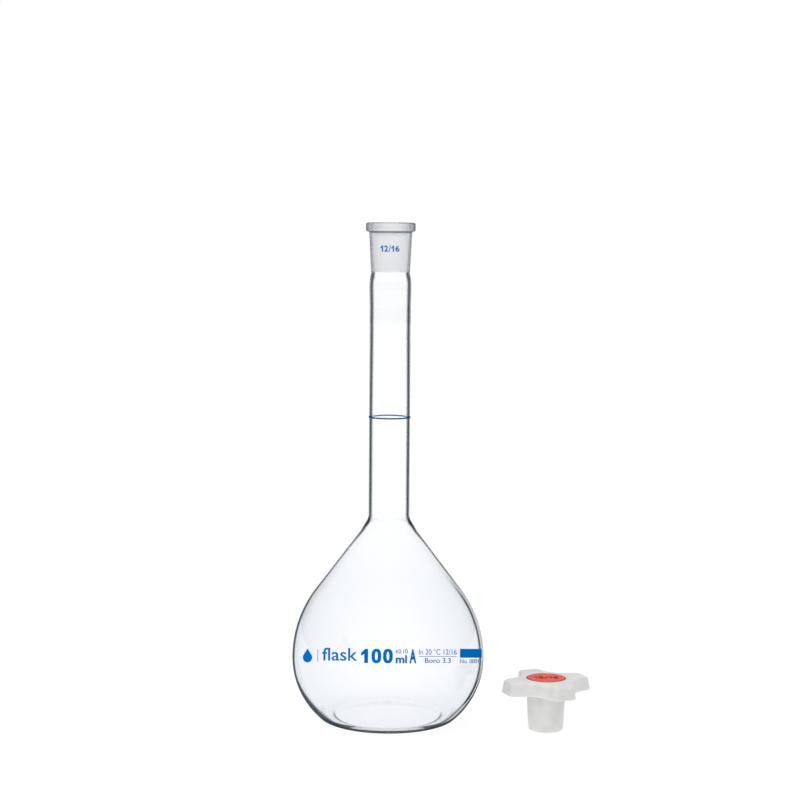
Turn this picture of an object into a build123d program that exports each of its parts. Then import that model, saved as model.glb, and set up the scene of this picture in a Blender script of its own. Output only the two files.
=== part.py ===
"""Volumetric flask, 100 ml, with its four-lobed plastic stopper standing beside it.

Millimetres, +Z up, origin on the flask's axis at bench height, front of the print towards -Y.
The flask is a bulb, a neck tube and a ground socket welded end to end, with fired enamel prints
on the outside. The stopper is a hollow moulding with a coloured disc snapped into its head.
"""

import os
from math import atan2, cos, degrees, hypot, pi, radians, sin, sqrt, tan

from build123d import *

# --- bulb, outside -------------------------------------------------------------------------
bulb_radius = 30.1  # at the widest point
bulb_widest_height = 19.8
foot_outer_radius = 18.5  # where the flat foot ring meets the round of the corner
foot_ring_width = 2.2
foot_corner_radius = 4.8
upper_arc_radius = 35.1
shoulder_angle = 37.2  # of the straight shoulder, from vertical
push_up = 2.0  # how far the middle of the bottom stands off the bench

# --- bulb, wall ----------------------------------------------------------------------------
bulb_wall = 1.45
bottom_wall = 2.1
gutter_wall = 1.8  # under the lowest point of the inside
gutter_radius = 5.0  # inside, where the flank turns into the bottom

# --- neck ----------------------------------------------------------------------------------
neck_radius = 6.4
neck_wall = 1.0
neck_sweep_outer = 6.0  # outside round between shoulder and neck
neck_sweep_inner = 12.0  # the larger inside round leaves the weld a little thicker
bead_radius = 1.1  # of the bead of glass round the outside of the weld
bead_stand = 0.55  # how far the bead stands out of the shoulder
neck_swell = 0.1  # the neck swells slightly just under the waist
swell_length = 8.0
pinch_length = 3.7  # from the fullest part of the swell up to the waist

# --- ground socket, a 1:10 cone --------------------------------------------------------------
overall_height = 155.8
cone_ratio = 10.0  # length for one millimetre of diameter
ground_length = 15.25  # from the waist to the top of the rim
mouth_radius = 5.9
socket_wall = 0.88
rim_lip = 1.05  # how far the rim stands out of the cone
rim_thickness = 2.75
rim_round = 0.6
rim_root_round = 0.35
mouth_round = 0.45

# --- enamel ----------------------------------------------------------------------------------
enamel = 0.08
enamel_gap = 0.01  # keeps the enamel's curved inside clear of the glass
ring_mark_height = 95.5
ring_mark_width = 0.45
ring_mark_enamel = 0.12
print_height = 26.5  # middle of the print on the front of the bulb
print_tilt = 12.3  # the artwork is laid on along a line that falls this much towards the flask
artwork_bulb_radius = 30.1  # the artwork is drawn for this bulb, and scaled to any other
size_print_drop = 8.0  # the socket's size stands this far under the rim's top

# --- stopper ---------------------------------------------------------------------------------
stopper_gap = 4.4  # between the stopper's head and the bulb, side by side
stopper_forward = 13.0
stopper_stand_off = 1.5  # left between head and rim when the plug is pressed home
plug_length = 12.0
plug_edge_round = 1.0
head_thickness = 4.3
lobe_reach = 13.9  # from the axis to the blunt end of a lobe
lobe_width = 7.0
lobe_corner = 1.5
lobe_turn = 22.0
valley_radius = 9.5
head_edge = 0.7
stopper_wall = 1.0  # of the plug at its tip, and under the hollow
disc_ledge = 1.65  # width of the ledge that the disc rests on
disc_clearance = 0.1
disc_thickness = 1.2
skirt_length = 1.8
skirt_wall = 0.7
disc_figures = 0.12  # how far the figures stand out of the disc

os.makedirs("parts", exist_ok=True)


# --- the outline's tangent points -----------------------------------------------------------
def on_circle(centre, radius, angle):
    """The point at an angle in degrees on a circle."""
    return (centre[0] + radius * cos(radians(angle)), centre[1] + radius * sin(radians(angle)))


def arc(centre, radius, start, end):
    """Draw the arc between two angles in degrees."""
    middle = (start + end) / 2
    ThreePointArc(*(on_circle(centre, radius, a) for a in (start, middle, end)))


def flank_circle(reach, widest, corner_centre, corner_radius):
    """Circle with a vertical tangent at (reach, widest), holding the corner's circle inside it."""
    dx, dz = reach - corner_centre[0], widest - corner_centre[1]
    radius = (dx**2 + dz**2 - corner_radius**2) / (2 * (dx - corner_radius))
    return (reach - radius, widest), radius


def angle_to(a, b):
    """Direction from a to b in degrees."""
    return degrees(atan2(b[1] - a[1], b[0] - a[0]))


def sweep_circle(line_point, tube_radius, radius):
    """Circle that joins the shoulder line to the vertical tube: centre and point on the line."""
    lean = radians(shoulder_angle)
    on_line_r = tube_radius + radius * (1 - cos(lean))
    on_line_z = line_point[1] + (line_point[0] - on_line_r) / tan(lean)
    return (tube_radius + radius, on_line_z + radius * sin(lean)), (on_line_r, on_line_z)


# outside
foot_inner_radius = foot_outer_radius - foot_ring_width
corner_centre = (foot_outer_radius, foot_corner_radius)
flank_centre, flank_radius = flank_circle(
    bulb_radius, bulb_widest_height, corner_centre, foot_corner_radius
)
corner_angle = angle_to(flank_centre, corner_centre)
upper_centre = (bulb_radius - upper_arc_radius, bulb_widest_height)
shoulder_start = on_circle(upper_centre, upper_arc_radius, shoulder_angle)
sweep_centre, shoulder_end = sweep_circle(shoulder_start, neck_radius, neck_sweep_outer)
dome_radius = (foot_inner_radius**2 + push_up**2) / (2 * push_up)
dome_centre = (0, push_up - dome_radius)

# inside: the upper arc and shoulder run parallel to the outside, the gutter joins flank to dome
inner_reach = bulb_radius - bulb_wall
inner_upper_radius = upper_arc_radius - bulb_wall
inner_shoulder_start = on_circle(upper_centre, inner_upper_radius, shoulder_angle)
bore_radius = neck_radius - neck_wall
inner_sweep_centre, weld_inner = sweep_circle(inner_shoulder_start, bore_radius, neck_sweep_inner)
weld_outer = (
    weld_inner[0] + bulb_wall * cos(radians(shoulder_angle)),
    weld_inner[1] + bulb_wall * sin(radians(shoulder_angle)),
)
inner_dome_radius = dome_radius + bottom_wall
bead_depth = bead_radius - bead_stand
bead_centre = (
    shoulder_end[0] - bead_depth * cos(radians(shoulder_angle)),
    shoulder_end[1] - bead_depth * sin(radians(shoulder_angle)),
)


def gutter_place():
    """Centre of the gutter's circle, which touches the inner dome and leaves the gutter's wall."""
    low = gutter_wall + gutter_radius
    rise = low - dome_centre[1]
    return (sqrt((inner_dome_radius + gutter_radius) ** 2 - rise**2), low)


gutter_centre = gutter_place()
inner_flank_centre, inner_flank_radius = flank_circle(
    inner_reach, bulb_widest_height, gutter_centre, gutter_radius
)
gutter_angle = angle_to(inner_flank_centre, gutter_centre)
dome_edge_angle = angle_to(dome_centre, gutter_centre)

# neck and socket
waist_height = overall_height - ground_length
swell_height = waist_height - pinch_length
under_rim = overall_height - rim_thickness


def bore_at(height):
    """Radius of the ground cone's bore at a height."""
    return mouth_radius - (overall_height - height) / cone_ratio / 2


waist_bore = bore_at(waist_height)
waist_radius = waist_bore + socket_wall
socket_top_radius = bore_at(under_rim) + socket_wall
rim_radius = socket_top_radius + rim_lip

# --- bulb ----------------------------------------------------------------------------------
with BuildPart() as bulb:
    with BuildSketch(Plane.XZ):
        with BuildLine():
            Line((foot_inner_radius, 0), (foot_outer_radius, 0))
            arc(corner_centre, foot_corner_radius, -90, corner_angle)
            arc(flank_centre, flank_radius, corner_angle, 0)
            arc(upper_centre, upper_arc_radius, 0, shoulder_angle)
            Line(shoulder_start, weld_outer)
            Line(weld_outer, weld_inner)
            Line(weld_inner, inner_shoulder_start)
            arc(upper_centre, inner_upper_radius, shoulder_angle, 0)
            arc(inner_flank_centre, inner_flank_radius, 0, gutter_angle)
            arc(gutter_centre, gutter_radius, gutter_angle, dome_edge_angle - 180)
            arc(dome_centre, inner_dome_radius, dome_edge_angle, 90)
            Line((0, push_up + bottom_wall), (0, push_up))
            arc(dome_centre, dome_radius, 90, angle_to(dome_centre, (foot_inner_radius, 0)))
        make_face()
    revolve(axis=Axis.Z)
bulb.part.label = "bulb"
export_step(bulb.part, "parts/bulb.step")

# --- neck: drawn tube, flared at the foot for the weld, pinched at the waist --------------------
with BuildPart() as neck:
    with BuildSketch(Plane.XZ):
        with BuildLine():
            Line(weld_outer, shoulder_end)
            arc(sweep_centre, neck_sweep_outer, 180 + shoulder_angle, 180)
            Line((neck_radius, sweep_centre[1]), (neck_radius, swell_height - swell_length))
            Spline(
                (neck_radius, swell_height - swell_length),
                (neck_radius + neck_swell, swell_height),
                (waist_radius, waist_height),
                tangents=((0, 1), (0, 1)),
            )
            Line((waist_radius, waist_height), (waist_bore, waist_height))
            Spline(
                (waist_bore, waist_height),
                (bore_radius, swell_height - pinch_length / 2),
                tangents=((0, -1), (0, -1)),
            )
            Line((bore_radius, swell_height - pinch_length / 2), (bore_radius, inner_sweep_centre[1]))
            arc(inner_sweep_centre, neck_sweep_inner, 180, 180 + shoulder_angle)
            Line(weld_inner, weld_outer)
        make_face()
    revolve(axis=Axis.Z)
    with BuildSketch(Plane.XZ):
        with Locations(bead_centre):
            Circle(bead_radius)
    revolve(axis=Axis.Z)
neck.part.label = "neck"
export_step(neck.part, "parts/neck.step")

# --- ground socket with its rolled rim --------------------------------------------------------
with BuildPart() as ground_socket:
    with BuildSketch(Plane.XZ) as socket_outline:
        with BuildLine():
            Polyline(
                (waist_bore, waist_height),
                (waist_radius, waist_height),
                (socket_top_radius, under_rim),
                (rim_radius, under_rim),
                (rim_radius, overall_height),
                (mouth_radius, overall_height),
                close=True,
            )
        make_face()
        rim_corners = socket_outline.vertices().filter_by_position(
            Axis.X, rim_radius - 0.01, rim_radius + 0.01
        )
        fillet(rim_corners, radius=rim_round)
        rim_root = socket_outline.vertices().filter_by_position(
            Axis.X, socket_top_radius - 0.01, socket_top_radius + 0.01
        )
        fillet(rim_root.sort_by(Axis.Y)[0], radius=rim_root_round)
        mouth_edge = socket_outline.vertices().sort_by(Axis.Y)[-2:].sort_by(Axis.X)[0]
        fillet(mouth_edge, radius=mouth_round)
    revolve(axis=Axis.Z)
ground_socket.part.label = "ground_socket"
export_step(ground_socket.part, "parts/ground_socket.step")

# --- what the flask holds up to its ring mark ---------------------------------------------------
with BuildPart() as contents:
    with BuildSketch(Plane.XZ):
        with BuildLine():
            Line((0, ring_mark_height), (bore_radius, ring_mark_height))
            Line((bore_radius, ring_mark_height), (bore_radius, inner_sweep_centre[1]))
            arc(inner_sweep_centre, neck_sweep_inner, 180, 180 + shoulder_angle)
            Line(weld_inner, inner_shoulder_start)
            arc(upper_centre, inner_upper_radius, shoulder_angle, 0)
            arc(inner_flank_centre, inner_flank_radius, 0, gutter_angle)
            arc(gutter_centre, gutter_radius, gutter_angle, dome_edge_angle - 180)
            arc(dome_centre, inner_dome_radius, dome_edge_angle, 90)
            Line((0, push_up + bottom_wall), (0, ring_mark_height))
        make_face()
    revolve(axis=Axis.Z)
print("holds to the ring mark, ml:", round(contents.part.volume / 1000, 2))

# --- ring mark all round the neck ---------------------------------------------------------------
with BuildPart() as ring_mark:
    with BuildSketch(Plane.XY.offset(ring_mark_height - ring_mark_width / 2)):
        Circle(neck_radius + ring_mark_enamel)
        Circle(neck_radius + enamel_gap, mode=Mode.SUBTRACT)
    extrude(amount=ring_mark_width)
    outer_edges = ring_mark.edges().filter_by(GeomType.CIRCLE).sort_by(SortBy.RADIUS)[-2:]
    fillet(outer_edges, radius=ring_mark_enamel * 0.4)
ring_mark.part.label = "ring_mark"
export_step(ring_mark.part, "parts/ring_mark.step")

# --- stroke lettering: each figure is a few strokes on a grid six units high ---------------------
FIGURES = {
    "0": (4, [[(0, 0), (0, 6), (4, 6), (4, 0), (0, 0)]]),
    "1": (2.2, [[(0, 4.6), (1.8, 6), (1.8, 0)]]),
    "2": (4, [[(0, 4.7), (0, 6), (4, 6), (4, 3.3), (0, 0.6), (0, 0), (4, 0)]]),
    "3": (4, [[(0, 6), (4, 6), (4, 3.1), (1.2, 3.1)], [(1.2, 3.1), (4, 3.1), (4, 0), (0, 0)]]),
    "6": (4, [[(3.6, 6), (0, 6), (0, 0), (4, 0), (4, 3.5), (0, 3.5)]]),
    "/": (2.8, [[(0, 0), (2.8, 6)]]),
    ".": (0.4, [[(0, 0.1), (0.4, 0.1)]]),
    "°": (1.8, [[(0, 4.2), (0, 6), (1.8, 6), (1.8, 4.2), (0, 4.2)]]),
    "±": (3.4, [[(0, 3.8), (3.4, 3.8)], [(1.7, 5.5), (1.7, 2.1)], [(0, 0.5), (3.4, 0.5)]]),
    "A": (3.6, [[(0, 0), (1.8, 6)], [(1.8, 6), (3.6, 0)], [(0.6, 2), (3, 2)]]),
    "B": (4, [[(0, 0), (0, 6), (3.7, 6), (3.7, 3.2), (0, 3.2)], [(2, 3.2), (4, 3.2), (4, 0), (0, 0)]]),
    "C": (4, [[(4, 4.8), (4, 6), (0, 6), (0, 0), (4, 0), (4, 1.2)]]),
    "I": (0, [[(0, 0), (0, 6)]]),
    "N": (3.8, [[(0, 0), (0, 6)], [(0, 6), (3.8, 0)], [(3.8, 0), (3.8, 6)]]),
    "a": (3.2, [[(0.2, 4), (3.2, 4), (3.2, 0), (0, 0), (0, 2.2), (3.2, 2.2)]]),
    "f": (2.2, [[(0.8, 0), (0.8, 6), (2.2, 6)], [(0, 4), (2, 4)]]),
    "k": (3.2, [[(0, 0), (0, 6)], [(3, 4), (0, 1.7)], [(1.1, 2.5), (3.2, 0)]]),
    "l": (0, [[(0, 0), (0, 6)]]),
    "m": (5.2, [[(0, 0), (0, 4), (2.6, 4), (2.6, 0)], [(2.4, 4), (5.2, 4), (5.2, 0)]]),
    "n": (3.2, [[(0, 0), (0, 4), (3.2, 4), (3.2, 0)]]),
    "o": (3.4, [[(0, 0), (0, 4), (3.4, 4), (3.4, 0), (0, 0)]]),
    "r": (2, [[(0, 0), (0, 4), (2, 4)]]),
    "s": (3, [[(3, 4), (0, 4), (0, 2.1), (3, 2.1), (3, 0), (0, 0)]]),
    " ": (1.2, []),
}


def cut_corners(points, cut=1.1):
    """Replace every corner of a stroke, and its start if it is closed, by a short slanted piece."""
    closed = points[0] == points[-1]
    loop = points[:-1] if closed else points
    result = []
    for i, p in enumerate(loop):
        if not closed and i in (0, len(loop) - 1):
            result.append(p)
            continue
        for other in (loop[i - 1], loop[(i + 1) % len(loop)]):
            length = hypot(other[0] - p[0], other[1] - p[1])
            share = min(cut, length * 0.4) / length
            result.append((p[0] + (other[0] - p[0]) * share, p[1] + (other[1] - p[1]) * share))
    return result + [result[0]] if closed else result


def lettering(words, left, right, bottom, height, stroke):
    """Draw words in the sketch, between left and right, with round-ended strokes."""
    space = 1.0 + stroke / height * 6
    units = sum(FIGURES[c][0] for c in words) + space * (len(words) - 1)
    across = (right - left - stroke) / units
    up = (height - stroke) / 6
    pen = left + stroke / 2
    for c in words:
        width, strokes = FIGURES[c]
        for points in strokes:
            path = [(pen + x * across, bottom + stroke / 2 + y * up) for x, y in cut_corners(points)]
            for a, b in zip(path, path[1:]):
                middle = ((a[0] + b[0]) / 2, (a[1] + b[1]) / 2)
                with Locations(Location((*middle, 0), (0, 0, angle_to(a, b)))):
                    SlotCenterToCenter(hypot(b[0] - a[0], b[1] - a[1]), stroke)
        pen += (width + space) * across


# The sheet the artwork is drawn on stands in front of the bulb, square to the print's line.
print_line = Vector(0, cos(radians(print_tilt)), -sin(radians(print_tilt)))
sheet_gap = 5.0
sheet_origin = Vector(0, -bulb_radius, print_height) - print_line * sheet_gap
sheet = Plane(origin=sheet_origin, x_dir=(1, 0, 0), z_dir=print_line * -1)
print_reach = bulb_radius + sheet_gap  # how deep the artwork is pressed on to the bulb
art_scale = bulb_radius / artwork_bulb_radius
row_height = 4.2  # of the tall figures
row_foot = -row_height / 2


with BuildPart() as bulb_coat:  # thin coat over the band of the bulb that carries the print
    with BuildSketch(Plane.XZ):
        with BuildLine():
            for outward in (enamel_gap, enamel_gap + enamel):
                arc(flank_centre, flank_radius + outward, -50, 0)
                arc(upper_centre, upper_arc_radius + outward, 0, shoulder_angle)
            for centre, radius, angle in (
                (flank_centre, flank_radius, -50),
                (upper_centre, upper_arc_radius, shoulder_angle),
            ):
                Line(
                    on_circle(centre, radius + enamel_gap, angle),
                    on_circle(centre, radius + enamel_gap + enamel, angle),
                )
        make_face()
    revolve(axis=Axis.Z)

# --- the capacity: figures, unit, tolerance and class letter -------------------------------------
with BuildPart() as capacity_print:
    with BuildSketch(sheet):
        lettering("100", -8.1, 1.4, row_foot, row_height, 0.85)
        lettering("±0.10", 2.2, 5.9, row_foot + 2.9, 1.3, 0.2)
        lettering("ml", 2.3, 5.7, row_foot, 2.3, 0.45)
        lettering("A", 6.4, 8.5, row_foot, row_height, 0.5)
        scale(by=art_scale)
    extrude(amount=-print_reach)
    add(bulb_coat.part, mode=Mode.INTERSECT)
capacity_print.part.label = "capacity_print"
export_step(capacity_print.part, "parts/capacity_print.step")

# --- plain drop, divider and the word for what it is ---------------------------------------------
drop_centre = (-24.6, -0.6)
drop_radius = 1.5
drop_tip = 2.1
with BuildPart() as emblem_print:
    with BuildSketch(sheet):
        side_angle = degrees(atan2(sqrt((drop_tip - drop_centre[1]) ** 2 - drop_radius**2), drop_radius))
        with BuildLine():
            arc(drop_centre, drop_radius, 90 + side_angle, 450 - side_angle)
            for sign in (-1, 1):
                Line(
                    on_circle(drop_centre, drop_radius, 90 + sign * side_angle),
                    (drop_centre[0], drop_tip),
                )
        make_face()
        with Locations((-21.3, 0)):
            Rectangle(0.15, row_height * 0.85)
        lettering("flask", -19.9, -9.3, -1.5, 3.2, 0.36)
        scale(by=art_scale)
    extrude(amount=-print_reach)
    add(bulb_coat.part, mode=Mode.INTERSECT)
emblem_print.part.label = "emblem_print"
export_step(emblem_print.part, "parts/emblem_print.step")

# --- the small print: two lines with a rule between ----------------------------------------------
with BuildPart() as specification_print:
    with BuildSketch(sheet):
        lettering("In 20 °C 12/16", 9.3, 20.8, row_foot + 2.4, 1.8, 0.24)
        with Locations((15.05, row_foot + 1.9)):
            Rectangle(11.5, 0.16)
        lettering("Boro 3.3", 11.1, 19.0, row_foot, 1.5, 0.22)
        scale(by=art_scale)
    extrude(amount=-print_reach)
    add(bulb_coat.part, mode=Mode.INTERSECT)
specification_print.part.label = "specification_print"
export_step(specification_print.part, "parts/specification_print.step")

# --- solid colour bar with a small number under it ------------------------------------------------
with BuildPart() as colour_bar_print:
    with BuildSketch(sheet):
        with Locations((25.5, row_foot + 3.05)):
            Rectangle(7.2, 2.7)
        lettering("No. 0001", 21.9, 28.0, row_foot, 1.25, 0.2)
        scale(by=art_scale)
    extrude(amount=-print_reach)
    add(bulb_coat.part, mode=Mode.INTERSECT)
colour_bar_print.part.label = "colour_bar_print"
export_step(colour_bar_print.part, "parts/colour_bar_print.step")

# --- socket size on the outside of the cone -------------------------------------------------------
size_print_height = overall_height - size_print_drop
size_row = 1.9


def cone_outside(height, outward):
    """Point of the cone's outside at a height, moved outward, as radius and height."""
    return (bore_at(height) + socket_wall + outward, height)


with BuildPart() as socket_size_print:
    with BuildSketch(Plane.XZ.offset(rim_radius)):
        lettering("12/16", -3.1, 3.1, size_print_height - size_row / 2, size_row, 0.36)
    extrude(amount=-rim_radius)
    with BuildSketch(Plane.XZ):
        with BuildLine():
            Polyline(
                cone_outside(size_print_height - size_row, enamel_gap),
                cone_outside(size_print_height - size_row, enamel_gap + enamel),
                cone_outside(size_print_height + size_row, enamel_gap + enamel),
                cone_outside(size_print_height + size_row, enamel_gap),
                close=True,
            )
        make_face()
    revolve(axis=Axis.Z, mode=Mode.INTERSECT)
socket_size_print.part.label = "socket_size_print"
export_step(socket_size_print.part, "parts/socket_size_print.step")

# --- stopper: hollow plug under a four-lobed head -------------------------------------------------
plug_radius = mouth_radius + stopper_stand_off / cone_ratio / 2
plug_tip_radius = plug_radius - plug_length / cone_ratio / 2
cavity_radius = plug_tip_radius - stopper_wall
disc_radius = cavity_radius + disc_ledge
head_top = plug_length + head_thickness
head_reach = hypot(lobe_reach, lobe_width / 2)
half_lobe = degrees(atan2(lobe_width / 2, lobe_reach))
stopper_x = bulb_radius + head_reach + stopper_gap
stand = Plane(origin=(stopper_x, -stopper_forward, 0))
stopper_axis = Axis((stopper_x, -stopper_forward, 0), (0, 0, 1))

with BuildPart() as stopper_body:
    with BuildSketch(stand.offset(plug_length)) as head_outline:
        with BuildLine():
            for turn in (lobe_turn + 90 * k for k in range(4)):
                lobe_start = on_circle((0, 0), head_reach, turn - half_lobe)
                lobe_end = on_circle((0, 0), head_reach, turn + half_lobe)
                valley = on_circle((0, 0), valley_radius, turn + 45)
                Line(lobe_start, lobe_end)
                ThreePointArc(lobe_end, valley, on_circle((0, 0), head_reach, turn + 90 - half_lobe))
        make_face()
        fillet(head_outline.vertices(), radius=lobe_corner)
    extrude(amount=head_thickness)
    chamfer(stopper_body.faces().sort_by(Axis.Z)[-1].edges(), length=head_edge)
    chamfer(stopper_body.faces().sort_by(Axis.Z)[0].edges(), length=head_edge / 2)
    with BuildSketch(Plane(origin=stand.origin, x_dir=(1, 0, 0), z_dir=(0, -1, 0))) as plug_half:
        with BuildLine():
            Polyline(
                (0, 0),
                (plug_tip_radius, 0),
                (plug_radius, plug_length),
                (plug_radius, plug_length + head_thickness / 2),
                (0, plug_length + head_thickness / 2),
                close=True,
            )
        make_face()
        fillet(plug_half.vertices().group_by(Axis.Y)[0].sort_by(Axis.X)[-1], radius=plug_edge_round)
    revolve(axis=stopper_axis)
    # the hollow, open at the top under the disc, and the disc's seat
    with BuildSketch(stand.offset(stopper_wall)):
        Circle(cavity_radius)
    extrude(amount=head_top - stopper_wall, mode=Mode.SUBTRACT)
    with BuildSketch(stand.offset(head_top)):
        Circle(disc_radius + disc_clearance)
    extrude(amount=-disc_thickness, mode=Mode.SUBTRACT)
stopper_body.part.label = "stopper_body"
export_step(stopper_body.part, "parts/stopper_body.step")

# --- coloured disc with a short skirt that snaps into the hollow ----------------------------------
with BuildPart() as stopper_disc:
    with BuildSketch(stand.offset(head_top - disc_thickness)):
        Circle(disc_radius)
    extrude(amount=disc_thickness)
    fillet(stopper_disc.faces().sort_by(Axis.Z)[-1].edges(), radius=0.25)
    with BuildSketch(stand.offset(head_top - disc_thickness)):
        Circle(cavity_radius - disc_clearance)
        Circle(cavity_radius - disc_clearance - skirt_wall, mode=Mode.SUBTRACT)
    extrude(amount=-skirt_length)
stopper_disc.part.label = "stopper_disc"
export_step(stopper_disc.part, "parts/stopper_disc.step")

# --- figures on the disc --------------------------------------------------------------------------
with BuildPart() as disc_print:
    with BuildSketch(stand.offset(head_top)):
        figure_reach = disc_radius * 0.62
        figure_height = disc_radius * 0.38
        lettering("12/16", -figure_reach, figure_reach, -figure_height / 2, figure_height, 0.42)
    extrude(amount=disc_figures)
disc_print.part.label = "disc_print"
export_step(disc_print.part, "parts/disc_print.step")
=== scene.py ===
"""Volumetric flask and its four-lobed stopper: the finishes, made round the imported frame."""

import math

import bmesh
import bpy
import numpy as np
from mathutils import Matrix, Vector


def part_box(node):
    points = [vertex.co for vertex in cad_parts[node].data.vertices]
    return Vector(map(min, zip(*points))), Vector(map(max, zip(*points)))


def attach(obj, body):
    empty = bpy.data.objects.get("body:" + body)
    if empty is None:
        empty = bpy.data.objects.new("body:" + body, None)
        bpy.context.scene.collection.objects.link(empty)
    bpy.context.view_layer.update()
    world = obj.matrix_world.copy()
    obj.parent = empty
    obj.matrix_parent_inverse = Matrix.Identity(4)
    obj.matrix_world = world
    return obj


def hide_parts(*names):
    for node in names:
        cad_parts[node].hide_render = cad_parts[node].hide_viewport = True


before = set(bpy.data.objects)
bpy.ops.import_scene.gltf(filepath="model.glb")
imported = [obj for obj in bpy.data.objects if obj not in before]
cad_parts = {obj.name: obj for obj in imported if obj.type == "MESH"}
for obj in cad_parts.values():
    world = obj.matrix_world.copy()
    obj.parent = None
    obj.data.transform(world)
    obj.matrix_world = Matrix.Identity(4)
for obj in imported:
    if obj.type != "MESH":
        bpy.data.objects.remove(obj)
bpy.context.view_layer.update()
mm = 0.001


# --- The glass: bulb, neck and ground socket ------------------------------------------------
# Borosilicate glass, blown and drawn, then melted together into one wall: a pear-shaped bulb
# with a pushed-up bottom, a weld bead, a plain tube, a pinched waist and a socket with a
# rolled rim. It is clear all over, except the socket, whose bore is ground matt.
bulb_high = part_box("bulb")[1]
socket_low, socket_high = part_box("ground_socket")
bulb_radius, rim_top, waist_height = bulb_high[0], socket_high[2], socket_low[2]
widest = 19.8 * mm
foot_outer, foot_inner, corner_radius = 18.5 * mm, 16.3 * mm, 4.8 * mm
upper_radius, lean = 35.1 * mm, math.radians(37.2)
push_up = 2.0 * mm
bulb_wall, bottom_wall, gutter_wall, gutter_radius = 1.45 * mm, 2.1 * mm, 1.8 * mm, 5.0 * mm
neck_radius, neck_wall = 6.4 * mm, 1.0 * mm
sweep_outer, sweep_inner = 6.0 * mm, 12.0 * mm
bead_height, bead_spread = 0.28 * mm, 1.8 * mm
weld_angle = 0.85 * lean
mouth_radius, socket_wall, rim_lip = 5.9 * mm, 0.88 * mm, 1.05 * mm
cone_slope = 1 / 20
under_rim = rim_top - 2.75 * mm
swell, swell_length = 0.1 * mm, 8 * mm
swell_height, inner_swell_height = waist_height - 3.7 * mm, waist_height - 5.5 * mm


def round_arc(centre, radius, start, end, count):
    """Points on a circle: the centre plus the radius times cosine and sine of even angles."""
    angles = np.linspace(start, end, count)
    return np.c_[centre[0] + radius * np.cos(angles), centre[1] + radius * np.sin(angles)]


def soft_step(start, end, count):
    """A run up the outline whose radius eases from one value to the other as half a cosine."""
    along = np.linspace(0, 1, count)
    ease = (1 - np.cos(np.pi * along)) / 2
    return np.c_[start[0] + (end[0] - start[0]) * ease, start[1] + (end[1] - start[1]) * along]


def flank(reach, corner, corner_r):
    """The circle that stands upright at the widest point and touches the corner's circle."""
    dx, dz = reach - corner[0], widest - corner[1]
    radius = (dx**2 + dz**2 - corner_r**2) / (2 * (dx - corner_r))
    return (reach - radius, widest), radius


def sweep(line_point, tube_radius, radius):
    """The circle that joins the shoulder's straight run to the tube, and where it leaves it."""
    r = tube_radius + radius * (1 - math.cos(lean))
    z = line_point[1] + (line_point[0] - r) / math.tan(lean)
    return (tube_radius + radius, z + radius * math.sin(lean)), (r, z)


def bore_at(height):
    """Radius of the ground bore: the mouth's, less the depth under the rim's top times the slope."""
    return mouth_radius - (rim_top - height) * cone_slope


def direction(a, b):
    """The angle at which b is seen from a."""
    return math.atan2(b[1] - a[1], b[0] - a[0])


corner = (foot_outer, corner_radius)
flank_centre, flank_radius = flank(bulb_radius, corner, corner_radius)
corner_angle = direction(flank_centre, corner)
upper_centre = (bulb_radius - upper_radius, widest)
dome_radius = (foot_inner**2 + push_up**2) / (2 * push_up)
dome_centre = (0.0, push_up - dome_radius)
shoulder = round_arc(upper_centre, upper_radius, lean, lean, 1)[0]
sweep_centre, shoulder_end = sweep(shoulder, neck_radius, sweep_outer)

gutter_low = gutter_wall + gutter_radius
inner_dome = dome_radius + bottom_wall
gutter_reach = math.sqrt((inner_dome + gutter_radius) ** 2 - (gutter_low - dome_centre[1]) ** 2)
gutter = (gutter_reach, gutter_low)
inner_flank_centre, inner_flank_radius = flank(bulb_radius - bulb_wall, gutter, gutter_radius)
gutter_angle = direction(inner_flank_centre, gutter)
dome_edge = direction(dome_centre, gutter)
inner_upper = upper_radius - bulb_wall
inner_shoulder = round_arc(upper_centre, inner_upper, lean, lean, 1)[0]
bore_radius = neck_radius - neck_wall
inner_sweep_centre, inner_shoulder_end = sweep(inner_shoulder, bore_radius, sweep_inner)
waist_bore = bore_at(waist_height)
waist_radius = waist_bore + socket_wall
cone_top = bore_at(under_rim) + socket_wall
rim_radius = cone_top + rim_lip
edge, lip, root = 0.6 * mm, 0.45 * mm, 0.35 * mm
dome_points = 28

outside = np.vstack([
    round_arc(dome_centre, dome_radius, math.pi / 2, direction(dome_centre, (foot_inner, 0.0)), dome_points),
    np.linspace((foot_inner + 0.15 * mm, 0.0), (foot_outer, 0.0), 4),
    round_arc(corner, corner_radius, -math.pi / 2, corner_angle, 22)[1:],
    round_arc(flank_centre, flank_radius, corner_angle, 0.0, 40)[1:],
    round_arc(upper_centre, upper_radius, 0.0, lean, 44)[1:],
    np.linspace(shoulder, shoulder_end, 30)[1:],
    round_arc(sweep_centre, sweep_outer, math.pi + lean, math.pi, 26)[1:],
    np.linspace((neck_radius, sweep_centre[1]), (neck_radius, swell_height - swell_length), 12)[1:],
    soft_step((neck_radius, swell_height - swell_length), (neck_radius + swell, swell_height), 8)[1:],
    soft_step((neck_radius + swell, swell_height), (waist_radius, waist_height), 12)[1:],
])
socket_outside = np.vstack([
    np.linspace((waist_radius, waist_height), (cone_top, under_rim - root), 10)[1:],
    round_arc((cone_top + root, under_rim - root), root, math.pi, math.pi / 2, 6)[1:],
    round_arc((rim_radius - edge, under_rim + edge), edge, -math.pi / 2, 0.0, 8),
    round_arc((rim_radius - edge, rim_top - edge), edge, 0.0, math.pi / 2, 8),
    round_arc((mouth_radius + lip, rim_top - lip), lip, math.pi / 2, math.pi, 8),
])
bore = np.linspace((bore_at(rim_top - lip), rim_top - lip), (waist_bore, waist_height), 14)[1:]
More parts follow.
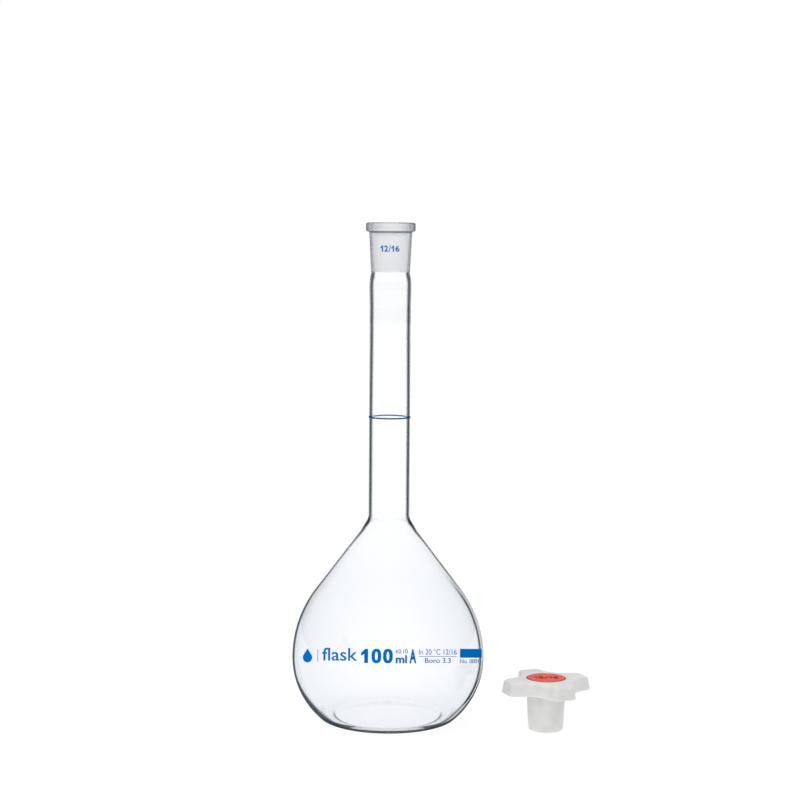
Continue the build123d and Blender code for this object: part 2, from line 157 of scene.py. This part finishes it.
inside = np.vstack([
    soft_step((waist_bore, waist_height), (bore_radius, inner_swell_height), 12)[1:],
    np.linspace((bore_radius, inner_swell_height), (bore_radius, inner_sweep_centre[1]), 14)[1:],
    round_arc(inner_sweep_centre, sweep_inner, math.pi, math.pi + lean, 16)[1:],
    np.linspace(inner_shoulder_end, inner_shoulder, 14)[1:],
    round_arc(upper_centre, inner_upper, lean, 0.0, 44)[1:],
    round_arc(inner_flank_centre, inner_flank_radius, 0.0, gutter_angle, 36)[1:],
    round_arc(gutter, gutter_radius, gutter_angle, dome_edge - math.pi, 18)[1:],
    round_arc(dome_centre, inner_dome, dome_edge, math.pi / 2, 24)[1:],
])


def weld_bead(points):
    """Swell the outline outwards at the top of the shoulder, where the neck was melted on: each
    point moves along the outline's normal by the bead's height times a bell curve."""
    along = np.gradient(points, axis=0)
    normal = np.c_[along[:, 1], -along[:, 0]] / np.linalg.norm(along, axis=1)[:, None]
    weld = round_arc(sweep_centre, sweep_outer, math.pi + weld_angle, math.pi, 2)[0]
    away = np.linalg.norm(points - weld, axis=1)
    return points + normal * (bead_height * np.exp(-((away / bead_spread) ** 2)))[:, None]


def spin(name, profile, count=224):
    """Turn a profile round the Z axis: vertex (i, j) is profile point i at the angle 2 pi j / count.
    The first and last points lie on the axis and are single, so the surface is closed."""
    angles = np.linspace(0, 2 * np.pi, count, endpoint=False)
    rings = profile[1:-1]
    grid = np.stack([
        rings[:, :1] * np.cos(angles), rings[:, :1] * np.sin(angles), np.repeat(rings[:, 1:], count, 1)
    ], axis=-1).reshape(-1, 3)
    points = np.vstack([(0, 0, profile[0, 1]), grid, (0, 0, profile[-1, 1])])
    return surface(name, points, len(rings), count)


def add_object(name, data):
    """A new object in the scene."""
    made = bpy.data.objects.new(name, data)
    bpy.context.collection.objects.link(made)
    return made


def surface(name, points, rows, count):
    """A closed mesh over rows of count points, with a single point before and after them: four
    neighbours make a face, and each end closes in a fan. Returns it with each face's row."""
    i, j = np.meshgrid(np.arange(rows - 1), np.arange(count), indexing="ij")
    after = (j + 1) % count
    quads = np.stack([i * count + j, i * count + after, (i + 1) * count + after, (i + 1) * count + j], -1)
    j = np.arange(count)
    after = (j + 1) % count
    last = 1 + (rows - 1) * count
    first_fan = np.stack([np.zeros(count, int), 1 + after, 1 + j], -1)
    last_fan = np.stack([last + j, last + after, np.full(count, len(points) - 1)], -1)
    mesh = bpy.data.meshes.new(name)
    faces = first_fan.tolist() + (quads.reshape(-1, 4) + 1).tolist() + last_fan.tolist()
    mesh.from_pydata(points.tolist(), [], faces)
    mesh.polygons.foreach_set("use_smooth", np.ones(len(mesh.polygons), bool))
    face_rows = np.r_[np.zeros(count, int), np.repeat(np.arange(1, rows), count), np.full(count, rows)]
    return add_object(name, mesh), face_rows


outside = weld_bead(outside)
flask_glass, strip = spin("flask_glass", np.vstack([outside, socket_outside, bore, inside]))


class Wire:
    """A socket of a node tree, on which sums and products can be written."""

    def __init__(self, tree, socket):
        self.tree, self.socket = tree, socket

    def math(self, operation, first, second):
        return node(self.tree, "ShaderNodeMath", {"operation": operation}, [first, second])

    def __add__(self, other):
        return self.math("ADD", self, other)

    def __mul__(self, other):
        return self.math("MULTIPLY", self, other)

    def __sub__(self, other):
        return self.math("SUBTRACT", self, other)

    def __rsub__(self, other):
        return self.math("SUBTRACT", other, self)

    def __truediv__(self, other):
        return self.math("DIVIDE", self, other)

    __radd__, __rmul__ = __add__, __mul__

    def fade(self, start, end):
        """Rises smoothly from 0 at start to 1 at end; start may be the larger."""
        low, high = (0.0, 1.0) if start < end else (1.0, 0.0)
        return node(self.tree, "ShaderNodeMapRange", {"interpolation_type": "SMOOTHSTEP"},
                    [self, min(start, end), max(start, end), low, high])


def node(tree, kind, settings=None, values=(), output=0):
    """Add a node, set its properties, then fill its inputs, by place or by name."""
    made = tree.nodes.new(kind)
    for key, value in (settings or {}).items():
        setattr(made, key, value)
    for key, value in values.items() if isinstance(values, dict) else enumerate(values):
        if isinstance(value, Wire):
            tree.links.new(value.socket, made.inputs[key])
        else:
            made.inputs[key].default_value = value
    return Wire(tree, made.outputs[output])


def mix_colours(tree, factor, first, second):
    """A colour between two, each a wire or three numbers."""
    made = tree.nodes.new("ShaderNodeMix")
    made.data_type = "RGBA"
    for name, value in (("Factor", factor), ("A", first), ("B", second)):
        socket = next(s for s in made.inputs if s.name == name and s.enabled)
        if isinstance(value, Wire):
            tree.links.new(value.socket, socket)
        else:
            socket.default_value = (*value, 1.0)
    return Wire(tree, next(s for s in made.outputs if s.enabled))


def finish(name, values):
    """A new material whose Principled shader has the given values, its tree and the shader."""
    made = bpy.data.materials.new(name)
    made.use_nodes = True
    shader = made.node_tree.nodes["Principled BSDF"]
    for key, value in values.items():
        shader.inputs[key].default_value = value
    return made, made.node_tree, shader


def here(tree):
    """The point being shaded, in the object's own metres."""
    return node(tree, "ShaderNodeTexCoord", output=3)


def from_axis(tree):
    """Distance of the point from the flask's axis."""
    flat = node(tree, "ShaderNodeVectorMath", {"operation": "MULTIPLY"}, [here(tree), (1, 1, 0)])
    return node(tree, "ShaderNodeVectorMath", {"operation": "LENGTH"}, [flat], output=1)


def height_of(tree):
    """Height of the point over the bench."""
    return node(tree, "ShaderNodeSeparateXYZ", values=[here(tree)], output=2)


def facing(tree):
    """Cosine of the angle between the wall and the eye: 1 seen square on, 0 at the outline."""
    return 1 - node(tree, "ShaderNodeLayerWeight", values=[0.5], output=1)


def edge_depth(tree):
    """How far inside the outline a round wall seems to be, in millimetres: half the ring's radius
    times the square of the facing cosine, over the level part of the wall's normal. The small
    number added to that part keeps the flat foot from dividing by zero."""
    cosine = facing(tree)
    normal = node(tree, "ShaderNodeTexCoord", output=1)
    level = node(tree, "ShaderNodeVectorMath", {"operation": "MULTIPLY"}, [normal, (1, 1, 0)])
    level = node(tree, "ShaderNodeVectorMath", {"operation": "LENGTH"}, [level], output=1)
    return cosine * cosine * from_axis(tree) * (0.5 / mm) / (level + 0.15)


def dark_edge(tree, shader, strength, shade):
    """Cover the glass with a dark shade where strength is 1: there the edge of a real wall sends the
    eye sideways, past white surroundings, to something dark that this scene doesn't hold."""
    dark = node(tree, "ShaderNodeBsdfDiffuse", values=[(*shade, 1)])
    both = node(tree, "ShaderNodeMixShader", values=[strength, Wire(tree, shader.outputs[0]), dark])
    tree.links.new(both.socket, tree.nodes["Material Output"].inputs["Surface"])


def fill(wire, shader, name):
    """Lead a wire into one of the shader's sockets."""
    wire.tree.links.new(wire.socket, shader.inputs[name])


def grain_of(tree, scale, detail=2.0):
    """Fine noise from 0 to 1 in the object's own metres: the larger the scale, the finer it is."""
    return node(tree, "ShaderNodeTexNoise", values={"Vector": here(tree), "Scale": scale, "Detail": detail})


def rough_skin(tree, shader, grain, smoothest, spread, strength, relief):
    """Let the gloss and the relief of a surface follow its grain."""
    fill(grain * spread + smoothest, shader, "Roughness")
    bump = {"Strength": strength, "Distance": relief, "Height": grain}
    fill(node(tree, "ShaderNodeBump", values=bump), shader, "Normal")


borosilicate = {"IOR": 1.473, "Transmission Weight": 1.0}
# slate and pale_slate: the dark colours painted over the clear glass and the socket as shade along their
# outlines
slate, pale_slate = (0.024, 0.042, 0.060), (0.20, 0.24, 0.28)

clear_glass, tree, shader = finish("clear_glass", borosilicate | {"Roughness": 0.0})
depth, height, cosine = edge_depth(tree), height_of(tree), facing(tree)
across = node(tree, "ShaderNodeSeparateXYZ", values=[here(tree)])
on_tube, on_top = height.fade(38 * mm, 60 * mm), height.fade(95 * mm, 125 * mm)
on_shoulder = height.fade(32 * mm, 46 * mm) * height.fade(63 * mm, 55 * mm)
on_right = (across / from_axis(tree)).fade(0.1, 0.9) * height.fade(48 * mm, 38 * mm)
low_right, high_right = height.fade(24 * mm, 12 * mm), height.fade(12 * mm, 24 * mm)
heavy_foot = height.fade(16 * mm, 5 * mm) * 0.65 + height.fade(3.5 * mm, 1 * mm) * 0.35

# the tint deepens towards the outline: partly because more glass lies behind one point, partly as painted
# shade for the dark surroundings a real wall bends in there
outline_shade_tint = mix_colours(tree, on_tube, (0.745, 0.78, 0.845), (0.925, 0.94, 0.965))
fill(mix_colours(tree, cosine * cosine, outline_shade_tint, (0.972, 0.981, 0.994)), shader, "Base Color")

# painted shade: the dark line along the outline; the depths, in millimetres, at which it is full and at
# which it ends
line_start = (on_tube + on_top) * 0.12 + 0.12
line_width = height.fade(55 * mm, 63 * mm) * 0.18 - on_shoulder * 0.14 + on_top * 0.1 + heavy_foot + 0.52
share = depth / line_width
line = share.fade(1.6, 0.75) * ((depth / line_start).fade(0.1, 1.4) * 0.6 + 0.4)

# on the right of the bulb the painted line thins out and a second painted dark line runs inside it, drawn as
# the shade a thicker wall shows
gap = share.fade(0.35, 0.6) * share.fade(0.95, 0.75) * height.fade(1 * mm, 3 * mm) * 0.75
line = line * (1 - on_right * (high_right * 0.7 + low_right * gap))
second_painted_line = depth.fade(0.6, 0.8) * depth.fade(1.35, 1.0) * on_right * height.fade(7 * mm, 10 * mm)
# painted shade: a faint darkening just inside the outline, low on the bulb
lower_bulb_shade = depth.fade(2.6, 0.5) * height.fade(52 * mm, 36 * mm) * 0.12
strength = line * (0.94 - lower_bulb_shade - on_shoulder * 0.12) + second_painted_line * 0.8 + lower_bulb_shade
dark_edge(tree, shader, strength, slate)

inner_glass, tree, shader = finish(
    "clear_glass_inside", borosilicate | {"Base Color": (0.985, 0.99, 0.998, 1), "Roughness": 0.0}
)

socket_glass, tree, shader = finish("socket_glass", borosilicate | {"Roughness": 0.12})
depth, height = edge_depth(tree), height_of(tree)
# painted shade: the socket's colour darkens towards its outline
tint = mix_colours(tree, depth.fade(0.0, 3.5), (0.80, 0.83, 0.87), (0.99, 0.993, 0.999))
fill(tint, shader, "Base Color")
# painted shade: dark lines along the socket's outline, on the rim's edges and in the crease under the rim
on_rim = height.fade(under_rim - 0.1 * mm, under_rim + 0.1 * mm)
over_crease = height.fade(under_rim - 0.6 * mm, under_rim - 0.3 * mm)
crease_shade = over_crease * height.fade(under_rim + 0.12 * mm, under_rim)
top_edge_shade = height.fade(rim_top - 0.5 * mm, rim_top - 0.1 * mm) * depth.fade(4.0, 0.5)
rim_edge_shade = on_rim * depth.fade(3.6, 0.4)
strength = depth.fade(1.1, 0.1) * 0.65 + rim_edge_shade * 0.42 + crease_shade * 0.95 + top_edge_shade * 0.4
dark_edge(tree, shader, strength, pale_slate)

ground_glass, tree, shader = finish(
    "ground_glass", borosilicate | {"Base Color": (0.99, 0.993, 0.999, 1)}
)
rough_skin(tree, shader, grain_of(tree, 6000.0, 3.0), 0.25, 0.2, 0.3, 0.02 * mm)
milk = node(tree, "ShaderNodeBsdfTranslucent", values=[(0.97, 0.975, 0.985, 1)])
body = node(tree, "ShaderNodeMixShader", values=[0.2, Wire(tree, shader.outputs[0]), milk])
tree.links.new(body.socket, tree.nodes["Material Output"].inputs["Surface"])

# the foot's dome is clear without the painted dark line, then come the outside, the socket, its bore, the
# inside
for material in (inner_glass, clear_glass, socket_glass, ground_glass, inner_glass):
    flask_glass.data.materials.append(material)
ends = np.cumsum([dome_points, len(outside) - 1 - dome_points, len(socket_outside), len(bore)])
flask_glass.data.polygons.foreach_set("material_index", np.searchsorted(ends, strip, side="right"))
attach(flask_glass, "flask")
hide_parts("bulb", "neck", "ground_socket")

# --- The ring mark ---------------------------------------------------------------------------
# A line of ceramic ink laid all round the neck with a fine wheel and fired on. It stands a
# hair proud of the glass.


def enamel(name, colour):
    """Fired ink, whose tone and gloss change a little from grain to grain."""
    material, tree, shader = finish(name, {"Specular IOR Level": 0.0, "IOR": 1.5})
    grain = grain_of(tree, 2600.0, 3.0)
    darker = tuple(c * 0.86 for c in colour)
    fill(mix_colours(tree, grain.fade(0.35, 0.65), darker, colour), shader, "Base Color")
    rough_skin(tree, shader, grain, 0.35, 0.25, 0.25, 0.02 * mm)
    return material


def dress(name, material):
    """Give a CAD piece one material."""
    for slot in bpy.data.objects[name].material_slots:
        slot.material = material


dress("ring_mark", enamel("ring_blue", (0.0, 0.10, 0.30)))

# --- The prints on the glass -----------------------------------------------------------------
# Blue ceramic ink, screened through a stencil on to the bulb and the socket and fired. Each
# print is cut flat as lettering and plain shapes, then laid on the round wall along one line.
print_blue = enamel("print_blue", (0.0, 0.17, 0.58))
ink_gap, ink_thickness, longest_run = 0.012 * mm, 0.05 * mm, 32 * mm


def corners(mesh):
    """A mesh's points, a row for each."""
    points = np.empty(len(mesh.vertices) * 3)
    mesh.vertices.foreach_get("co", points)
    return points.reshape(-1, 3)


def lettering(text, left, right, foot, tall, bold=0.0):
    """Flat lettering in the X-Y plane, in millimetres: it is stretched so that its ink fills the
    box from left to right and from foot to foot + tall. bold thickens the strokes."""
    curve = bpy.data.curves.new("lettering", "FONT")
    curve.body, curve.offset, curve.resolution_u = text, bold, 6
    writer = add_object("lettering", curve)
    mesh = bpy.data.meshes.new_from_object(writer.evaluated_get(bpy.context.evaluated_depsgraph_get()))
    bpy.data.objects.remove(writer)
    points = corners(mesh)
    low, high = points.min(0), points.max(0)
    points[:, 0] = left + (points[:, 0] - low[0]) / (high[0] - low[0]) * (right - left)
    points[:, 1] = foot + (points[:, 1] - low[1]) / (high[1] - low[1]) * tall
    points[:, 2] = 0
    mesh.vertices.foreach_set("co", points.ravel())
    return mesh


def plate(outline):
    """One flat face with the given corners, in millimetres."""
    mesh = bpy.data.meshes.new("plate")
    mesh.from_pydata(np.c_[outline, np.zeros(len(outline))].tolist(), [], [range(len(outline))])
    return mesh


def block(left, right, low, high):
    """A flat rectangle."""
    return plate([(left, low), (right, low), (right, high), (left, high)])


def figure_one(left, right, foot, tall, stem):
    """A bold 1: an upright stem at the right of the box and a short flag that falls to its left."""
    x, y = right - stem, foot + tall
    return plate([(right, foot), (right, y), (x + stem * 0.15, y), (left, y - tall * 0.30),
                  (left, y - tall * 0.49), (x, y - tall * 0.36), (x, foot)])


def figure_zero(left, right, foot, tall, counter_wide, counter_tall, count=72):
    """A bold 0: the strip between two rounded ovals, each with cosine and sine to the power 0.8."""
    turn = np.linspace(0, 2 * np.pi, count, endpoint=False)
    x = np.sign(np.cos(turn)) * np.abs(np.cos(turn)) ** 0.8
    y = np.sign(np.sin(turn)) * np.abs(np.sin(turn)) ** 0.8
    centre = np.array([(left + right) / 2, foot + tall / 2])
    sizes = ((right - left, tall), (counter_wide, counter_tall))
    rings = [centre + np.c_[x * wide, y * high] / 2 for wide, high in sizes]
    points = np.c_[np.vstack(rings), np.zeros(2 * count)]
    i = np.arange(count)
    after = (i + 1) % count
    mesh = bpy.data.meshes.new("figure_zero")
    mesh.from_pydata(points.tolist(), [], np.stack([i, after, after + count, i + count], -1).tolist())
    return mesh


def lay_on(name, node_name, flats, wall, origin, up, run):
    """Lay flat shapes on a round wall: a point (x, y) starts at origin + x X + y up and moves along
    run until its distance from the axis is the wall's radius there; then the ink gets its thickness.
    The shapes are cut into strips first, so that they bend, and each move is found by halving."""
    strip_width, strip_height, halvings = 0.45, 0.6, 40
    cut = bmesh.new()
    for flat in flats:
        cut.from_mesh(flat)
    spread = np.vstack([corners(flat) for flat in flats])
    (left, low, _), (right, high, _) = spread.min(0), spread.max(0)
    lines = [((x, 0, 0), (1, 0, 0)) for x in np.arange(left + strip_width, right, strip_width)]
    lines += [((0, y, 0), (0, 1, 0)) for y in np.arange(low + strip_height, high, strip_height)]
    for place, across in lines:
        bmesh.ops.bisect_plane(cut, geom=cut.verts[:] + cut.edges[:] + cut.faces[:], dist=1e-5,
                               plane_co=place, plane_no=across)
    bmesh.ops.triangulate(cut, faces=cut.faces[:])
    mesh = bpy.data.meshes.new(name)
    cut.to_mesh(mesh)
    cut.free()
    flat = corners(mesh) * mm
    start = np.array(origin) + flat[:, :1] * (1, 0, 0) + flat[:, 1:2] * np.array(up)
    near, far = np.zeros(len(start)), np.full(len(start), longest_run)
    for _ in range(halvings):
        middle = (near + far) / 2
        place = start + middle[:, None] * np.array(run)
        wall_radius = np.interp(place[:, 2], wall[:, 1], wall[:, 0])
        outer = np.hypot(place[:, 0], place[:, 1]) > wall_radius + ink_gap
        near, far = np.where(outer, middle, near), np.where(outer, far, middle)
    mesh.vertices.foreach_set("co", (start + near[:, None] * np.array(run)).ravel())
    piece = add_object(name, mesh)
    coat = piece.modifiers.new("ink", "SOLIDIFY")
    coat.thickness, coat.offset = ink_thickness, 1.0
    mesh.materials.append(print_blue)
    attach(piece, "flask")
    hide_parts(node_name)
    return piece


tilt, row_height, stand_back = math.radians(12.3), 26.5 * mm, 5 * mm
row_run, row_up = (0, math.cos(tilt), -math.sin(tilt)), (0, math.sin(tilt), math.cos(tilt))
row_start = (0, -bulb_radius - stand_back * math.cos(tilt), row_height + stand_back * math.sin(tilt))
bulb_wall_line = outside[(outside[:, 1] > 6 * mm) & (outside[:, 1] < 50 * mm)]
drop = np.vstack([round_arc((-24.6, -0.6), 1.5, math.radians(-215), math.radians(35), 60), (-24.6, 2.1)])


def lay_on_bulb(name, node_name, flats):
    """Lay flat shapes on the front of the bulb, in the one row that all its prints share."""
    return lay_on(name, node_name, flats, bulb_wall_line, row_start, row_up, row_run)


lay_on_bulb("capacity_ink", "capacity_print", [
    figure_one(-8.1, -5.95, -2.1, 4.2, 1.15), figure_zero(-4.95, -2.0, -2.15, 4.3, 0.8, 2.5),
    figure_zero(-1.5, 1.45, -2.15, 4.3, 0.8, 2.5), lettering("±0.10", 2.2, 5.9, 0.8, 1.3, bold=0.012),
    lettering("ml", 2.3, 5.7, -2.1, 2.4, bold=0.035), lettering("A", 6.4, 8.5, -2.1, 4.2, bold=0.045),
])
lay_on_bulb("emblem_ink", "emblem_print", [
    plate(drop), block(-21.38, -21.22, -1.8, 1.8), lettering("flask", -19.9, -9.2, -1.5, 3.9, bold=0.008),
])
lay_on_bulb("specification_ink", "specification_print", [
    lettering("In 20 °C 12/16", 9.3, 20.8, 0.5, 1.7), block(9.3, 20.8, -0.12, 0.04),
    lettering("Boro 3.3", 11.1, 19.0, -2.0, 1.5, bold=0.008),
])
lay_on_bulb("colour_bar_ink", "colour_bar_print", [
    block(21.9, 29.1, -0.4, 2.3), lettering("No. 0001", 21.9, 28.0, -2.1, 1.3),
])
cone_line, size_drop = socket_outside[:9], 8.0 * mm
lay_on(
    "socket_size_ink", "socket_size_print",
    [figure_one(-3.1, -2.3, -0.95, 1.9, 0.42), lettering("2", -1.95, -0.8, -0.95, 1.9, bold=0.03),
     lettering("/", -0.65, 0.1, -0.95, 1.9, bold=0.02), figure_one(0.25, 1.05, -0.95, 1.9, 0.42),
     lettering("6", 1.45, 2.7, -0.95, 1.9, bold=0.03)],
    cone_line, (0, -12 * mm, rim_top - size_drop), (0, 0, 1), (0, 1, 0),
)

# --- The stopper -----------------------------------------------------------------------------
# Natural polyethylene, injection moulded in one piece. The head has four blunt lobes with soft
# edges, drawn in a little towards the top so that it leaves the mould; the plug tapers 1 in 10.
stopper_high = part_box("stopper_body")[1]
disc_low, disc_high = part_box("stopper_disc")
stopper_x, stopper_y = (disc_low[0] + disc_high[0]) / 2, (disc_low[1] + disc_high[1]) / 2
head_thickness, stopper_wall, stand_off = 4.3 * mm, 1.0 * mm, 1.5 * mm
head_top, head_bottom = stopper_high[2], stopper_high[2] - head_thickness
disc_radius, disc_thickness, disc_clearance = (disc_high[0] - disc_low[0]) / 2, 1.2 * mm, 0.1 * mm
seat_radius, seat = disc_radius + disc_clearance, head_top - disc_thickness
plug_radius = mouth_radius + stand_off * cone_slope
tip_radius = plug_radius - head_bottom * cone_slope
hollow_radius, hollow_floor = tip_radius - stopper_wall, stopper_wall
lobe_reach, lobe_half, valley = 13.82 * mm, 3.5 * mm, 9.5 * mm
lobe_turn, corner_blur = math.radians(22.0), math.radians(2.4)
ridge_height, ridge_width, ridge_turn = 0.14 * mm, math.radians(2.4), math.radians(82)


def head_outline(angles):
    """Radius of the head at each angle: a lobe's flat end, its reach over the cosine, or else the
    hollow circle between two lobes, averaged over a few degrees so that the corners are round."""
    reach, half = math.hypot(lobe_reach, lobe_half), math.atan2(lobe_half, lobe_reach)
    beta = math.pi / 4 - half
    off_axis = reach * math.cos(beta)
    cove = (reach**2 + valley**2 - 2 * valley * off_axis) / (2 * (off_axis - valley))
    far = valley + cove
    steps = np.radians(np.linspace(-5.5, 5.5, 23))[:, None]
    weight = np.exp(-((steps / corner_blur) ** 2) / 2)
    local = (angles + steps - lobe_turn + math.pi / 4) % (math.pi / 2) - math.pi / 4
    psi = math.pi / 4 - np.abs(local)
    scoop = far * np.cos(psi) - np.sqrt(np.maximum(cove**2 - (far * np.sin(psi)) ** 2, 0))
    total = np.where(np.abs(local) < half, lobe_reach / np.cos(local), scoop)
    return (total * weight).sum(0) / weight.sum()


def stopper_rings():
    """Rows of the section, from the hollow's floor up, over the head and down to the tip. Each is
    the head's share of the outline, the radius of the round part, an inset and a height."""
    top_round, low_round, fillet, tip_round, draw = 1.1 * mm, 0.5 * mm, 0.5 * mm, 1.0 * mm, 0.55 * mm
    crown, seat_round, small, tip_swell = 0.08 * mm, 0.3 * mm, 0.05 * mm, 0.04 * mm
    shoulder_z = head_top - crown - top_round
    quarter = np.linspace(0, math.pi / 2, 9)
    rise, fall = np.sin(quarter), 1 - np.cos(quarter)
    runs = [
        [(0, hollow_radius * r, 0, hollow_floor) for r in (0.3, 0.6, 0.85, 1)],
        [(0, hollow_radius, 0, z) for z in np.linspace(hollow_floor + 0.5 * mm, seat, 6)],
        [(0, seat_radius - small, 0, seat), (0, seat_radius, 0, seat + small)],
        [(0, seat_radius + seat_round * f, 0, head_top - seat_round * (1 - r)) for r, f in zip(rise, fall)],
        [(s, seat_radius + seat_round + small, (top_round + draw) * s, head_top - crown * s**2)
         for s in np.linspace(0.1, 1, 9)],
        [(1, 0, draw + top_round * (1 - r), head_top - crown - top_round * f)
         for r, f in zip(rise[1:], fall[1:])],
        [(1, 0, draw * (1 - s), shoulder_z + (head_bottom + low_round - shoulder_z) * s)
         for s in np.linspace(0.1, 1, 7)],
        [(1, 0, low_round * f, head_bottom + low_round * (1 - r)) for r, f in zip(rise[1:], fall[1:])],
        [(s, plug_radius + fillet, low_round * s, head_bottom) for s in np.linspace(0.85, 0, 7)],
        [(0, plug_radius + fillet * (1 - r), 0, head_bottom - fillet * f)
         for r, f in zip(rise[1:], fall[1:])],
        [(0, tip_radius + (plug_radius - tip_radius) * z / head_bottom, 0, z)
         for z in np.linspace(head_bottom - fillet - 0.5 * mm, tip_round, 10)],
        [(0, tip_radius + tip_swell - tip_round * f, 0, tip_round * (1 - r))
         for r, f in zip(rise[1:], fall[1:])],
        [(0, (tip_radius - tip_round) * r, 0, 0.0) for r in (0.75, 0.5, 0.25)],
    ]
    return np.array([row for run in runs for row in run])


def stopper_surface(name, count=288):
    """Grid surface: radius = share * head outline + (1 - share) * circle - inset, plus the thin ridge
    that the mould's two halves leave down the plug's front and back, a bell curve of the angle. The
    ridge runs from the fillet under the head to just above the round of the tip."""
    tip_rows, ridge_rows = 12, 10
    angles = np.linspace(0, 2 * np.pi, count, endpoint=False)
    share, circle, inset, height = (column[:, None] for column in stopper_rings().T)
    radius = share * head_outline(angles)[None] + (1 - share) * circle - inset
    seam = np.abs((angles - ridge_turn + np.pi / 2) % np.pi - np.pi / 2)
    on_plug = np.zeros_like(height)
    on_plug[-tip_rows - ridge_rows:-tip_rows] = 1
    radius = radius + on_plug * ridge_height * np.exp(-((seam / ridge_width) ** 2))
    grid = np.stack([
        stopper_x + radius * np.cos(angles), stopper_y + radius * np.sin(angles), np.repeat(height, count, 1)
    ], -1).reshape(-1, 3)
    points = np.vstack([(stopper_x, stopper_y, hollow_floor), grid, (stopper_x, stopper_y, 0.0)])
    piece, _ = surface(name, points, len(height), count)
    piece.data.flip_normals()
    return piece


stopper_moulding = stopper_surface("stopper_moulding")
natural_pe, tree, shader = finish(
    "natural_polyethylene",
    {"Subsurface Weight": 0.5, "Subsurface Radius": (1.0, 0.97, 0.9), "Subsurface Scale": 0.0015,
     "IOR": 1.5, "Specular IOR Level": 0.3},
)
cloud = grain_of(tree, 220.0, 3.0).fade(0.3, 0.7)
fill(mix_colours(tree, cloud, (0.715, 0.713, 0.703), (0.78, 0.778, 0.767)), shader, "Base Color")
rough_skin(tree, shader, grain_of(tree, 2600.0), 0.34, 0.18, 0.15, 0.04 * mm)
stopper_moulding.data.materials.append(natural_pe)
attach(stopper_moulding, "stopper")
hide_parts("stopper_body")

# --- The red disc and its figures --------------------------------------------------------------
# A disc of red polyethylene, snapped into the head until it is flush; its colour tells the
# joint's size, which is stamped on it in darker red.
red_disc, tree, shader = finish("red_disc", {"Specular IOR Level": 0.12, "IOR": 1.5})
to_centre = {"Vector": here(tree), "Location": (-stopper_x, -stopper_y, 0)}
centred = node(tree, "ShaderNodeMapping", values=to_centre)
flat = node(tree, "ShaderNodeVectorMath", {"operation": "MULTIPLY"}, [centred, (1, 1, 0)])
spread = node(tree, "ShaderNodeVectorMath", {"operation": "LENGTH"}, [flat], output=1)
rim_shade = spread.fade(disc_radius - 0.75 * mm, disc_radius - 0.15 * mm)
cloud = grain_of(tree, 500.0).fade(0.3, 0.7)
red = mix_colours(tree, cloud, (0.78, 0.075, 0.036), (0.86, 0.097, 0.048))
fill(mix_colours(tree, rim_shade, red, (0.42, 0.055, 0.055)), shader, "Base Color")
rough_skin(tree, shader, grain_of(tree, 2500.0), 0.3, 0.2, 0.2, 0.03 * mm)
dress("stopper_disc", red_disc)

figure_red, tree, shader = finish("figure_red", {"Specular IOR Level": 0.2, "IOR": 1.5})
skin = grain_of(tree, 2500.0)
fill(mix_colours(tree, skin, (0.24, 0.014, 0.018), (0.32, 0.025, 0.028)), shader, "Base Color")
fill(skin * 0.2 + 0.35, shader, "Roughness")
dress("disc_print", figure_red)

# --- The table, the light and the camera ---------------------------------------------------------
# A white table in white surroundings, which glow a little so that clear glass stands on white,
# a soft lamp high on the left, and a long lens that looks down a little.
table_radius, table_sink, table_points = 3.0, 0.05 * mm, 96
turn = np.linspace(0, 2 * np.pi, table_points, endpoint=False)
table_edge = np.c_[np.cos(turn) * table_radius, np.sin(turn) * table_radius, 0 * turn - table_sink]
table_mesh = bpy.data.meshes.new("table")
table_mesh.from_pydata(table_edge.tolist(), [], [range(table_points)])
table = add_object("table", table_mesh)
white_table, tree, shader = finish(
    "white_table",
    {"Base Color": (0.13, 0.13, 0.13, 1), "Roughness": 0.9, "Specular IOR Level": 0.0,
     "Emission Color": (1, 1, 1, 1), "Emission Strength": 0.92},
)
table_mesh.materials.append(white_table)

studio = bpy.data.worlds.new("studio")
bpy.context.scene.world = studio
studio.use_nodes = True
air = studio.node_tree
rays = air.nodes.new("ShaderNodeLightPath")
seen = Wire(air, rays.outputs["Is Camera Ray"]) + Wire(air, rays.outputs["Is Transmission Ray"])
sky = node(air, "ShaderNodeTexCoord")
up = node(air, "ShaderNodeSeparateXYZ", values=[sky], output=2)
right = node(air, "ShaderNodeSeparateXYZ", values=[sky])
power = (up.fade(-0.1, 0.9) * 0.62 + 0.5) * (1 - right.fade(0.1, 1.0) * 0.3)
soft = node(air, "ShaderNodeBackground", values=[(0.99, 0.99, 1.0, 1.0), power])
plain = node(air, "ShaderNodeBackground", values=[(1.0, 1.0, 1.0, 1.0), 1.01])
both = node(air, "ShaderNodeMixShader", values=[seen, soft, plain])
air.links.new(both.socket, air.nodes["World Output"].inputs["Surface"])


def soft_lamp(name, place, width, watts, tint):
    """A square lamp that faces the foot of the flask; it isn't mirrored in the glass."""
    lamp = bpy.data.lights.new(name, "AREA")
    lamp.shape, lamp.size, lamp.energy, lamp.color = "SQUARE", width, watts, tint
    holder = add_object(name, lamp)
    towards = Vector((0.02, 0, 0.03)) - Vector(place)
    holder.matrix_world = Matrix.Translation(place) @ towards.to_track_quat("-Z", "Y").to_matrix().to_4x4()
    holder.visible_glossy = holder.visible_transmission = False


soft_lamp("left_lamp", (-0.9, -0.6, 0.9), 0.6, 2.2, (1.0, 0.995, 0.98))

camera_distance, camera_height = 583.3 * mm, 149.0 * mm
looks_down, looks_right, roll = math.radians(4.723), math.radians(0.316), math.radians(0.40)
camera = add_object("camera", bpy.data.cameras.new("camera"))
camera.data.lens, camera.data.sensor_width = 84.56, 36.0
camera.data.clip_start, camera.data.clip_end = 0.01, 20.0
camera.matrix_world = (
    Matrix.Translation((0, -camera_distance, camera_height))
    @ Matrix.Rotation(-looks_right, 4, "Z")
    @ Matrix.Rotation(math.pi / 2 - looks_down, 4, "X")
    @ Matrix.Rotation(roll, 4, "Z")
)
bpy.context.scene.camera = camera
bpy.context.scene.view_settings.view_transform = "Standard"
